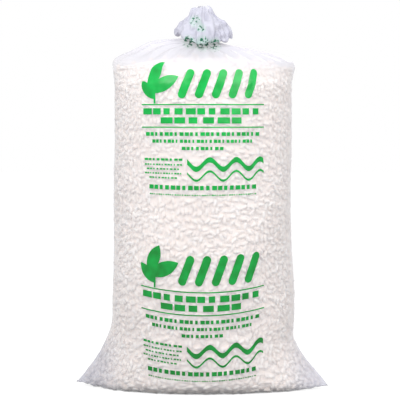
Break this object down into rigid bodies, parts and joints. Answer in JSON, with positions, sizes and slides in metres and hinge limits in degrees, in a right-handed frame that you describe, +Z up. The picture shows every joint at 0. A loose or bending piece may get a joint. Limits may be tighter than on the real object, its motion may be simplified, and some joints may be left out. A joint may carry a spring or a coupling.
{
  "type": "bag of packing peanuts",
  "caption": "Tall clear film bag filled with loose starch packing peanuts, gathered and tied at the neck, standing on its welded bottom edge.",
  "frame": {"origin": "centre of the base, on the surface that the bag stands on", "axes": "+Z up to the tied neck, -Y towards the printed front, +X to the right of someone facing the front"},
  "size_m": [1.042, 0.5974, 1.5749],
  "materials": {
    "film": "thin clear polythene film, glossy, with soft folds and green print",
    "peanuts": "puffed starch foam, matte, off-white",
    "tie": "moulded natural nylon, satin"
  },
  "bodies": {
    "root": {"film_bag": "film", "neck_tie": "tie", "loosefill_bed": "peanuts", "loose_peanut_01": "peanuts", "loose_peanut_02": "peanuts", "loose_peanut_03": "peanuts", "loose_peanut_04": "peanuts", "loose_peanut_05": "peanuts", "loose_peanut_06": "peanuts", "loose_peanut_07": "peanuts", "loose_peanut_08": "peanuts", "loose_peanut_09": "peanuts", "loose_peanut_10": "peanuts", "loose_peanut_11": "peanuts", "loose_peanut_12": "peanuts", "loose_peanut_13": "peanuts", "loose_peanut_14": "peanuts", "loose_peanut_15": "peanuts", "loose_peanut_16": "peanuts", "loose_peanut_17": "peanuts", "loose_peanut_18": "peanuts", "loose_peanut_19": "peanuts", "loose_peanut_20": "peanuts"}
  },
  "joints": []
}
